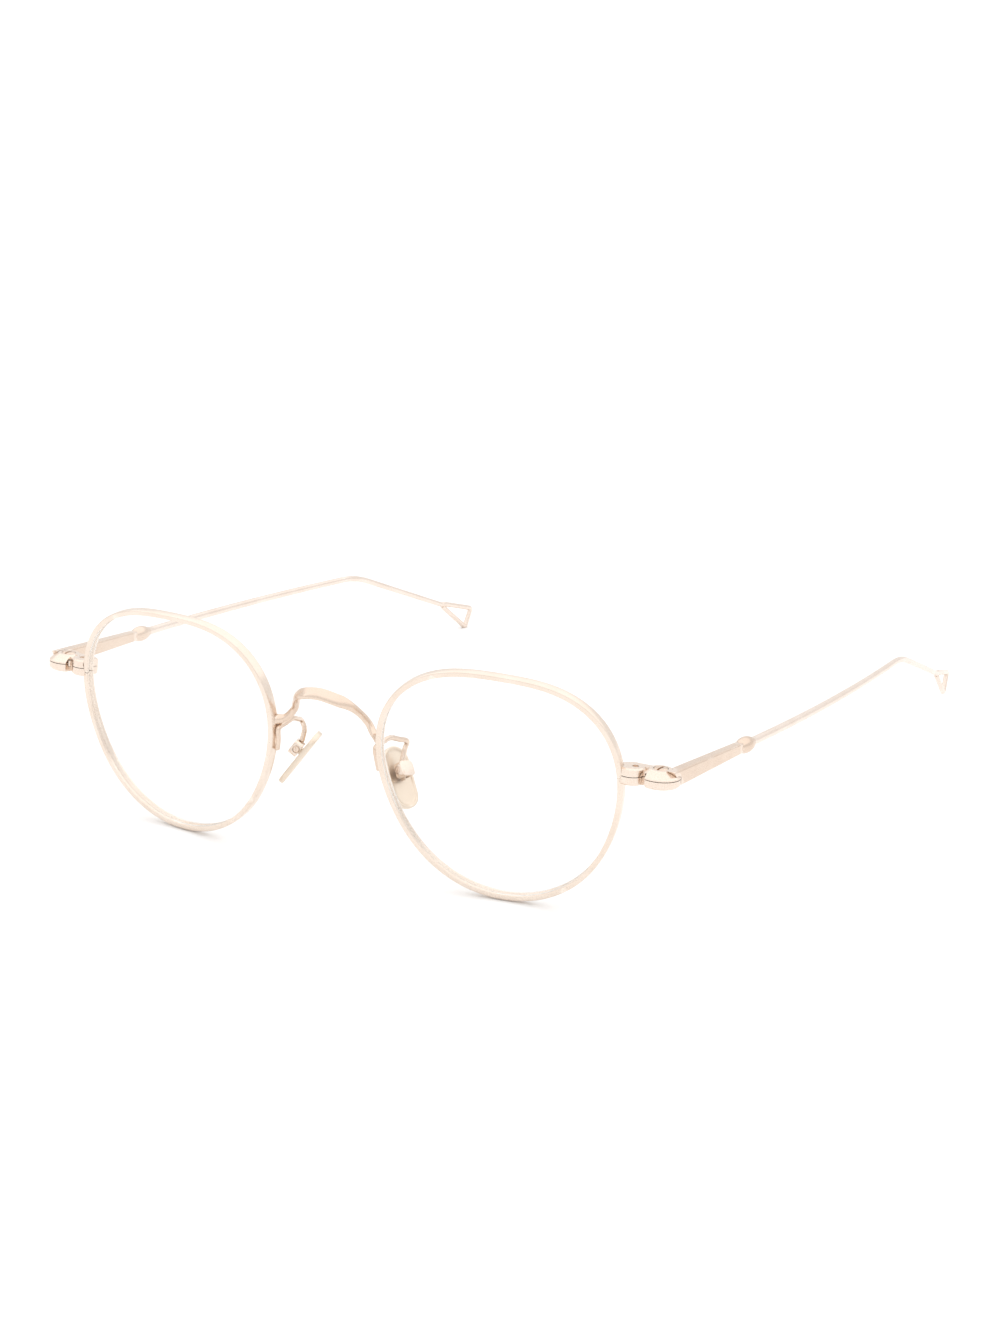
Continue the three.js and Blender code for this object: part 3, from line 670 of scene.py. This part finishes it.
def make_lens():
    edge = RIM_INNER - LENS_GAP
    bevel = GROOVE_WIDTH / 2 - LENS_GAP
    tip = RIM_INNER + GROOVE_DEPTH - 2 * LENS_GAP
    front_crown = LENS_EDGE_FRONT + sphere_drop(edge, LENS_FRONT_CURVE)
    back_crown = LENS_EDGE_BACK + sphere_drop(edge, LENS_BACK_CURVE)
    radii = [edge * i / LENS_STEPS for i in range(1, LENS_STEPS + 1)]
    back = [(r, back_crown - sphere_drop(r, LENS_BACK_CURVE)) for r in radii]
    front = [(r, front_crown - sphere_drop(r, LENS_FRONT_CURVE)) for r in reversed(radii)]
    rim_side = [(edge, -bevel), (tip, -LENS_TIP_HALF), (tip, LENS_TIP_HALF), (edge, bevel)]
    profile = [(CENTRE_HOLE, back_crown), *back, *rim_side, *front, (CENTRE_HOLE, front_crown)]
    return rim_shaped("lens", profile, LENS_SIDES)


# ---- End pieces and hinges ----


def lobe(name, side, centre):
    """A round half of an end plate from the creases of its side: radius, and height above the split."""
    profile = [(0, PLATE_LOW), *((radius, PLATE_LOW + rise) for radius, rise in side), (0, PLATE_HIGH)]
    return moved(turned(name, profile, 120), Matrix.Translation((centre[0], centre[1], 0)))


def chamfered_side(radius, chamfer):
    return [(radius, 0), (radius, PLATE_THICKNESS - chamfer), (radius - chamfer, PLATE_THICKNESS)]


def rim_room():
    """The room of the rim and of the opening before and behind it."""
    outer = RIM_OUTER + ROOM_CLEARANCE
    half = RIM_HALF_DEPTH + ROOM_CLEARANCE
    reach = 4 * RIM_HALF_DEPTH
    behind = [(CENTRE_HOLE, -reach), (RIM_RADIUS, -reach), (RIM_RADIUS, -half), (outer, -half)]
    profile = [*behind, *((radius, -height) for radius, height in reversed(behind))]
    return rim_shaped("room", profile, RIM_STEPS)


def drum(name, radius, low, high, x=0.0, y=0.0, sides=96):
    cylinder = turned(name, [(0, low), (radius, low), (radius, high), (0, high)], sides)
    return moved(cylinder, Matrix.Translation((x, y, 0)))


def make_plate(upper, lens_in_hinge):
    """One of the two stacked plates: an inner lobe that closes the rim and an outer one for the hinge."""
    shouldered = [(OUTER_LOBE_RADIUS, 0), *SHOULDER]
    outer_side = shouldered if upper else chamfered_side(OUTER_LOBE_RADIUS, LOWER_CHAMFER)
    plate = lobe("plate", outer_side, (0, 0))
    add(plate, lobe("inner", chamfered_side(INNER_LOBE_RADIUS, INNER_CHAMFER), INNER_LOBE))
    neck = [(0, NECK_BACK), (0, 0), (INNER_LOBE.x, INNER_LOBE.y), (INNER_LOBE.x, NECK_BACK)]
    add(plate, prism("neck", neck, PLATE_LOW + NECK_INSET, PLATE_HIGH - NECK_INSET))
    reach = OUTER_LOBE_RADIUS + 1
    half = VALLEY["width"] / 2
    x = VALLEY["x"]
    valley_y = (VALLEY["back"] - reach, VALLEY["back"])
    cut(plate, box("valley", (x - half, x + half), valley_y, (-THROUGH, THROUGH)))
    if not upper:
        moved(plate, Matrix.Diagonal((1, 1, -1, 1)))
        plate.data.flip_normals()
    cut(plate, moved(rim_room(), lens_in_hinge))
    flank = TONGUE_RADIUS + TONGUE_CLEARANCE
    slot = TONGUE_THICKNESS / 2 + TONGUE_CLEARANCE
    cut(plate, drum("eye_room", flank, -slot, slot))
    far = 2 * OUTER_LOBE_RADIUS
    sweep = box("sweep", (-far, flank), (TONGUE_INNER_FLANK - TONGUE_CLEARANCE, far), (-slot, slot))
    cut(plate, moved(sweep, Matrix.Rotation(-OPEN_STOP_YAW, 4, "Z")))
    lock_place = (LOCK_SCREW_X, INNER_LOBE.y)
    if upper:
        radius, depth = LOCK_END_ROOM
        cut(plate, drum("head_room", HEAD["radius"] + HEAD_CLEARANCE, PLATE_HIGH - HEAD["depth"], THROUGH))
        cut(plate, drum("lock_end_room", radius, PLATE_HIGH - depth, THROUGH, *lock_place, 48))
    else:
        foot_radius, foot_depth = FOOT_ROOM
        radius, depth = LOCK_HEAD_ROOM
        cut(plate, drum("foot_room", foot_radius, -THROUGH, -PLATE_HIGH + foot_depth))
        cut(plate, drum("lock_head_room", radius, -THROUGH, -PLATE_HIGH + depth, *lock_place, 64))
    return soften(plate, 0.07, 3)


def make_screw(shaft, head, depth, crown, foot, top, slot_angle, slot, sides=96):
    """A cheese-head screw about Z with a rounded rim, a driver slot and a rounded foot."""
    seat = top - depth
    profile = [
        (0, foot), (shaft - FOOT_CHAMFER, foot), (shaft, foot + FOOT_CHAMFER), (shaft, seat), (head, seat),
        (head, top - 0.05), (head - 0.08, top + 0.02),
        (head * CROWN_EDGE, top + crown * CROWN_EDGE_RISE), (0, top + crown),
    ]
    screw = turned("screw", rounded(profile, 0.06, 3), sides)
    width, deep = slot
    floor = top + crown - deep
    blade = box("blade", (-head - 1, head + 1), (-width / 2, width / 2), (floor, top + 2))
    cut(screw, moved(blade, Matrix.Rotation(slot_angle, 4, "Z")))
    return soften(screw, 0.035, 2, 40)


# ---- Temples ----


def temple_direction(s):
    heading = INWARD_CURVATURE * max(0.0, s - INWARD_BEND_START)
    drop = min(max(0.0, s - EAR_BEND_START) / EAR_BEND_RADIUS, EAR_BEND_ANGLE)
    level = math.cos(drop)
    return Vector((-math.sin(heading) * level, math.cos(heading) * level, -math.sin(drop)))


def temple_line(start, end):
    step = 0.5
    count = round((end - start) / step)
    places = [Vector((BUTT_OFFSET, start, 0))]
    for i in range(count):
        s = start + (i + 0.5) * step
        places.append(places[-1] + temple_direction(s) * ((end - start) / count))
    return places


def lobe_room():
    """The room of the plates' outer lobes, which the temple turns round."""
    foot = OUTER_LOBE_RADIUS + BUTT_CLEARANCE
    base = PLATE_LOW + BUTT_CLEARANCE / 2
    shoulder = [(radius + BUTT_CLEARANCE, base + rise) for radius, rise in SHOULDER]
    top = (shoulder[-1][0], THROUGH)
    profile = [(0, -THROUGH), (foot, -THROUGH), (foot, PLATE_LOW), *shoulder, top, (0, THROUGH)]
    return turned("lobe_room", profile, 160)


def make_butt():
    """The tapering bar beside the hinge, scooped round the plates' lobe, with the tongue between them."""
    end = BEAD_START + BUTT_OVERLAP
    steps = 30
    rings = []
    for i in range(steps + 1):
        t = i / steps
        outline = rounded_outline(mix(BUTT_THICKNESS, t), mix(BUTT_HEIGHT, t), mix(BUTT_CORNER, t), 7)
        y = mix((BUTT_START, end), t)
        lift = BUTT_LIFT * (1 - t)
        slant = BUTT_SLANT * (1 - t)
        rings.append([Vector((BUTT_OFFSET + x, y - slant * (z + lift), z + lift)) for x, z in outline])
    bar = from_rings("butt", rings)
    cut(bar, lobe_room())
    soften(bar, 0.05, 3, 50)
    half = TONGUE_THICKNESS / 2
    tongue = drum("tongue", TONGUE_RADIUS, -half, half)
    neck_x = (TONGUE_INNER_FLANK + TONGUE_CLEARANCE / 2, TONGUE_RADIUS - TONGUE_CLEARANCE)
    add(tongue, box("tongue_neck", neck_x, (0, OUTER_LOBE_RADIUS + 1), (-half, half)))
    cut(tongue, drum("pin_room", PIN_ROOM, -2, 2))
    soften(tongue, 0.06, 2)
    return joined("butt", bar, tongue)


def make_bead():
    """A turned knuckle with a fine collar at each end."""
    end = BEAD_RADIUS[0]
    steps = 24
    collar = [(0, 0), (end * COLLAR_FACE, 0.0), (end, COLLAR_EDGE), (end, COLLAR_LENGTH)]
    profile = list(collar)
    for i in range(1, steps):
        t = i / steps
        bulge = math.sin(math.pi * t) ** BEAD_FULLNESS
        profile.append((mix(BEAD_RADIUS, bulge), COLLAR_LENGTH + t * (BEAD_LENGTH - 2 * COLLAR_LENGTH)))
    profile += [(radius, BEAD_LENGTH - height) for radius, height in reversed(collar)]
    along = Matrix.Rotation(-math.pi / 2, 4, "X")
    return moved(turned("bead", profile, 72), Matrix.Translation((BUTT_OFFSET, BEAD_START, 0)) @ along)


def make_temple_wire():
    """The long thin part, flared a little where it enters the bead."""
    line = spaced(temple_line(WIRE_START - WIRE_OVERLAP, WIRE_END), 220)

    def radius(t, _):
        flare = WIRE_FLARE * math.exp(-((t / WIRE_FLARE_SHARE) ** 2))
        r = mix(WIRE_RADIUS, t) + flare
        return r, r

    return tube("wire", line, Vector((0, 0, 1)), radius, 32)


def rounded_path(places, corner):
    """Straight runs with each corner turned by a quadratic curve."""
    out = [places[0]]
    for before, here, after in zip(places, places[1:], places[2:]):
        a = here.lerp(before, corner / (here - before).length)
        b = here.lerp(after, corner / (here - after).length)
        for i in range(13):
            t = i / 12
            out.append(a * (1 - t) ** 2 + here * 2 * t * (1 - t) + b * t * t)
    out.append(places[-1])
    return out


def make_end_loop():
    """One wire bent round a narrow triangle, which starts and ends at the temple's tip."""
    line = temple_line(WIRE_START, WIRE_END)
    end = line[-1]
    forward = (line[-1] - line[-2]).normalized()
    across = Vector((0, 0, 1)).cross(forward).normalized()
    up = forward.cross(across).normalized()
    apex = end + forward * (0.1 + LOOP_WIRE_RADIUS)

    def corner(angle):
        return apex + forward * (LOOP_SIDE * math.cos(angle)) + up * (LOOP_SIDE * math.sin(angle))

    upper = corner(LOOP_HALF_ANGLE - LOOP_DROOP)
    lower = corner(-LOOP_HALF_ANGLE - LOOP_DROOP)
    start = end + forward * -0.2 + up * 0.1
    places = [start, apex + up * LOOP_GAP, upper, lower, apex - up * LOOP_GAP]
    path = spaced(rounded_path(places, LOOP_CORNER), 150)
    return tube("loop", path, across, lambda t, p: (LOOP_WIRE_RADIUS, LOOP_WIRE_RADIUS), 28)


# ---- Bridge and nose pads ----


def smoothstep(value, low, high):
    t = min(max((value - low) / (high - low), 0.0), 1.0)
    return t * t * (3 - 2 * t)


def make_bridge():
    """A rod from rim to rim that is flattened to a leaning strap over the nose."""
    half = [Vector(p) for p in BRIDGE_LINE]
    other = [Vector((-p.x, p.y, p.z)) for p in reversed(half[1:])]
    line = smooth_line(other + half, 160)
    lean = Vector((0, math.sin(STRAP_LEAN), math.cos(STRAP_LEAN)))

    def section(_, place):
        rod = smoothstep(abs(place.x), *STRAP_REACH)
        flare = BRIDGE_FLARE * smoothstep(abs(place.x) - BRIDGE_FOOT_X, *BRIDGE_FLARE_REACH)
        wide = mix((STRAP_HALF_WIDTH, BRIDGE_RADIUS), rod) + flare
        thick = mix((STRAP_HALF_THICKNESS, BRIDGE_RADIUS), rod) + flare
        return wide, thick

    bridge = tube("bridge", line, lean, section, 40, round_ends=False)
    for mirror in (1, -1):
        room = moved(rim_room(), Matrix.Diagonal((mirror, 1, 1, 1)) @ LENS)
        if mirror < 0:
            room.data.flip_normals()
        cut(bridge, room)
    return soften(bridge, 0.05, 2, 45)


def beside_rim(degrees, gap):
    """A place beside the rim's outer face, at the depth of the pad arm's foot."""
    a = math.radians(degrees)
    reach = rim_radius(a) + (RIM_OUTER - RIM_RADIUS + gap)
    return LENS @ Vector((reach * math.cos(a), reach * math.sin(a), ARM_FOOT_DEPTH))


def make_pad_arm():
    """The wire from the rim to the clip, with the braze along its foot."""
    foot = [beside_rim(degrees, ARM_RADIUS) for degrees in ARM_FOOT_ANGLES]
    reach = CLIP_LENGTH / 2 + ARM_RADIUS
    clip_top = PAD @ Vector((0, CLIP_UP + reach - ARM_OVERLAP, (CLIP_BASE + CLIP_ROOF) / 2))
    line = smooth_line([*foot, *ARM_LINE, clip_top], 150)
    arm = tube("arm", line, Vector((1, 0, 0)), lambda t, p: (ARM_RADIUS, ARM_RADIUS), 24)
    seam = [beside_rim(mix(BRAZE_ANGLES, i / BRAZE_STEPS), BRAZE_OFFSET) for i in range(BRAZE_STEPS + 1)]

    def braze(t, _):
        swell = math.sin(math.pi * min(max(t, 0.02), 0.98)) ** 0.5
        return BRAZE_SIZE[0] * swell, BRAZE_SIZE[1] * swell

    fillet = tube("braze", seam, Vector((0, 1, 0)), braze, 16)
    return joined("arm", arm, fillet)


def make_nose_pad():
    """An oval plate with a rolled border and a soft floor, and its stem behind."""
    half = PAD_THICKNESS / 2
    border, height = PAD_BORDER
    floor = half - height
    levels = [
        (-0.16, -half), (-0.05, -half + 0.05), (0.0, -half + 0.18), (0.0, half - 0.16), (-0.04, half - 0.05),
        (-0.14, half), (-border + 0.14, half), (-border, half - 0.05), (-border - 0.06, half - 0.14),
        (-border - 0.2, floor + 0.02), (-border - 0.5, floor),
    ]
    rings = []
    for grow, z in levels:
        width = PAD_WIDTH + 2 * grow
        length = PAD_LENGTH + 2 * grow
        outline = rounded_outline(width, length, width / 2 - 0.005, 24)
        rings.append([Vector((x, y, z)) for x, y in outline])
    plate = from_rings("pad", rings)
    half_x, half_y = STEM[0] / 2, STEM[1] / 2
    stem = box("stem", (-half_x, half_x), (CLIP_UP - half_y, CLIP_UP + half_y), (floor - 0.1, STEM[2]))
    soften(stem, 0.16, 4)
    foot = moved(turned("stem_foot", STEM_FOOT, 48), Matrix.Translation((0, CLIP_UP, floor - 0.05)))
    return joined("pad", plate, stem, foot)


def along_x(thing):
    """Lays a shape about Z along the pad screw's axis."""
    place = Matrix.Translation((0, CLIP_UP, PAD_SCREW_HEIGHT))
    return moved(thing, place @ Matrix.Rotation(-math.pi / 2, 4, "Y"))


def make_clip():
    """The folded clip: two cheeks with a roof, and a recess for the pad screw's head."""
    outline = [(x, y + CLIP_UP) for x, y in rounded_outline(CLIP_WIDTH, CLIP_LENGTH, CLIP_CORNER)]
    clip = prism("clip", outline, CLIP_BASE, CLIP_ROOF)
    width, roof = CLIP_SLOT
    cut(clip, box("slot", (-width / 2, width / 2), (CLIP_UP - THROUGH, CLIP_UP + THROUGH), (0, roof)))
    head, depth = PAD_SCREW_HEAD
    seat = CLIP_WIDTH / 2 - depth
    cut(clip, along_x(drum("recess", head + 0.05, seat, THROUGH, sides=48)))
    return soften(clip, 0.22, 4, 50)


def make_pad_screw():
    head, depth = PAD_SCREW_HEAD
    end = CLIP_WIDTH / 2
    crown, angle, slot = PAD_SCREW_CROWN, PAD_SCREW_SLOT_ANGLE, PAD_SCREW_SLOT
    return along_x(make_screw(PAD_SCREW_RADIUS, head, depth, crown, -end, end, angle, slot, 56))


def make_hinge_screw():
    radius, depth, crown = HEAD["radius"], HEAD["depth"], HEAD["crown"]
    ends = (-PLATE_HIGH, PLATE_HIGH)
    return make_screw(HINGE_SCREW_SHAFT, radius, depth, crown, *ends, HINGE_SLOT_ANGLE, HINGE_SLOT)


def make_lock_screw():
    """The screw that closes the rim, put in from below."""
    ends = {"foot": -PLATE_HIGH + LOCK_FOOT_RECESS, "top": PLATE_HIGH - LOCK_HEAD_RECESS}
    screw = make_screw(**LOCK_SCREW, **ends, slot_angle=LOCK_SLOT_ANGLE, slot=LOCK_SLOT, sides=64)
    place = Matrix.Translation((LOCK_SCREW_X, INNER_LOBE.y, 0))
    return moved(screw, place @ Matrix.Rotation(math.pi, 4, "X"))


# ---- Assembly ----

IDENTITY = Matrix.Identity(4)
place_piece(make_bridge(), 1, "bridge", "front", IDENTITY, ROSE)

for side, setting in SIDES.items():
    hinge = hinge_frame(setting["pitch"])
    temple = hinge @ Matrix.Rotation(-setting["yaw"], 4, "Z")
    temple_body = "temple_" + side
    pad_body = "nose_pad_" + side
    lens_in_hinge = hinge.inverted() @ LENS
    split = LENS.inverted() @ hinge @ Vector((INNER_LOBE.x, INNER_LOBE.y, 0))
    split_angle = math.atan2(split.y, split.x)

    def put(thing, node, body, local, material):
        place_piece(thing, setting["mirror"], node + "_" + side, body, local, material)

    put(make_rim(split_angle), "rim", "front", LENS, ROSE_RIM)
    put(make_lens(), "lens", "front", LENS, GLASS)
    put(make_plate(True, lens_in_hinge), "upper_end_plate", "front", hinge, ROSE)
    put(make_plate(False, lens_in_hinge), "lower_end_plate", "front", hinge, ROSE)
    put(make_hinge_screw(), "hinge_screw", "front", hinge, SCREW)
    put(make_lock_screw(), "rim_lock_screw", "front", hinge, SCREW)
    put(make_butt(), "temple_butt", temple_body, temple, ROSE)
    put(make_bead(), "temple_bead", temple_body, temple, ROSE)
    put(make_temple_wire(), "temple_wire", temple_body, temple, ROSE_DRAWN)
    put(make_end_loop(), "end_loop", temple_body, temple, ROSE_DRAWN)
    put(make_pad_arm(), "pad_arm", "front", IDENTITY, ROSE)
    put(make_clip(), "pad_box", "front", PAD, ROSE)
    put(make_pad_screw(), "pad_screw", "front", PAD, SCREW)
    put(make_nose_pad(), "nose_pad", pad_body, PAD, PALE)

# ---- Floor, lights and camera ----

FLOOR_REACH = 6.0
FLOOR_CELLS = 24
FLOOR_LEVEL = -0.0002
WORLD_STRENGTH = 0.98
ABOVE = {"place": (0, 0, 1.5), "aim": (0, 0, 0), "size": (5, 5), "power": 32}
LEFT = {"place": (-1.6, -1.2, 0.7), "aim": (0, 0, 0.02), "size": (0.5, 0.5), "power": 0.5}
# The camera's place and directions in the front's frame, in millimetres.
CAMERA_PLACE = Vector((243.45, -408.64, 216.95))
CAMERA_TURN = math.radians(28.0)
CAMERA_LOOK_DOWN = math.radians(23.37)
CAMERA_ROLL = math.radians(-1.23)
CAMERA_LENS = 79.2
CAMERA_SHIFT = (0.0271, 0.0149)


def make_floor():
    """A plain pale card, just under the part."""
    places = [FLOOR_REACH * (2 * i / FLOOR_CELLS - 1) for i in range(FLOOR_CELLS + 1)]
    bm = bmesh.new()
    rows = [[bm.verts.new((x, y, FLOOR_LEVEL)) for y in places] for x in places]
    for low, high in zip(rows, rows[1:]):
        for k in range(FLOOR_CELLS):
            bm.faces.new((low[k], high[k], high[k + 1], low[k + 1]))
    mesh = bpy.data.meshes.new("floor")
    bm.to_mesh(mesh)
    bm.free()
    floor = new_object("floor", mesh)
    material, nodes, links, surface = shader("floor_card")
    place = nodes.new("ShaderNodeTexCoord").outputs["Object"]
    grain = noise(nodes, links, place, 900, 4)
    tint = two_colours(nodes, links, grain, (0.94, 0.94, 0.94), (0.96, 0.96, 0.96))
    links.new(tint, surface.inputs["Base Color"])
    links.new(spread(nodes, links, grain, 0.75, 0.9), surface.inputs["Roughness"])
    surface.inputs["Specular IOR Level"].default_value = 0.2
    mesh.materials.append(material)


def area_light(name, place, aim, size, power):
    data = bpy.data.lights.new(name, "AREA")
    data.shape = "RECTANGLE"
    data.size, data.size_y = size
    data.energy = power
    light = bpy.data.objects.new(name, data)
    bpy.context.scene.collection.objects.link(light)
    light.location = place
    light.rotation_euler = (Vector(aim) - Vector(place)).to_track_quat("-Z", "Y").to_euler()


def make_world(strength):
    world = bpy.data.worlds.new("studio")
    world.use_nodes = True
    background = world.node_tree.nodes["Background"]
    background.inputs["Color"].default_value = (1, 1, 1, 1)
    background.inputs["Strength"].default_value = strength
    bpy.context.scene.world = world


def make_camera():
    a, e, roll = CAMERA_TURN, CAMERA_LOOK_DOWN, CAMERA_ROLL
    back = Vector((math.sin(a) * math.cos(e), -math.cos(a) * math.cos(e), math.sin(e)))
    right = Vector((math.cos(a), math.sin(a), 0))
    up = back.cross(right)
    across = right * math.cos(roll) + up * math.sin(roll)
    upward = up * math.cos(roll) - right * math.sin(roll)
    turn = FRONT.to_3x3() * (1 / MM)
    axes = Matrix((turn @ across, turn @ upward, turn @ back)).transposed()
    data = bpy.data.cameras.new("camera")
    data.lens = CAMERA_LENS
    data.sensor_width = 36
    data.sensor_fit = "AUTO"
    data.clip_start = 0.01
    data.shift_x, data.shift_y = CAMERA_SHIFT
    camera = bpy.data.objects.new("camera", data)
    bpy.context.scene.collection.objects.link(camera)
    camera.matrix_world = Matrix.Translation(FRONT @ CAMERA_PLACE) @ axes.to_4x4()
    bpy.context.scene.camera = camera


make_floor()
make_world(WORLD_STRENGTH)
area_light("softbox_above", **ABOVE)
area_light("softbox_left", **LEFT)
make_camera()
bpy.context.scene.view_settings.view_transform = "Standard"
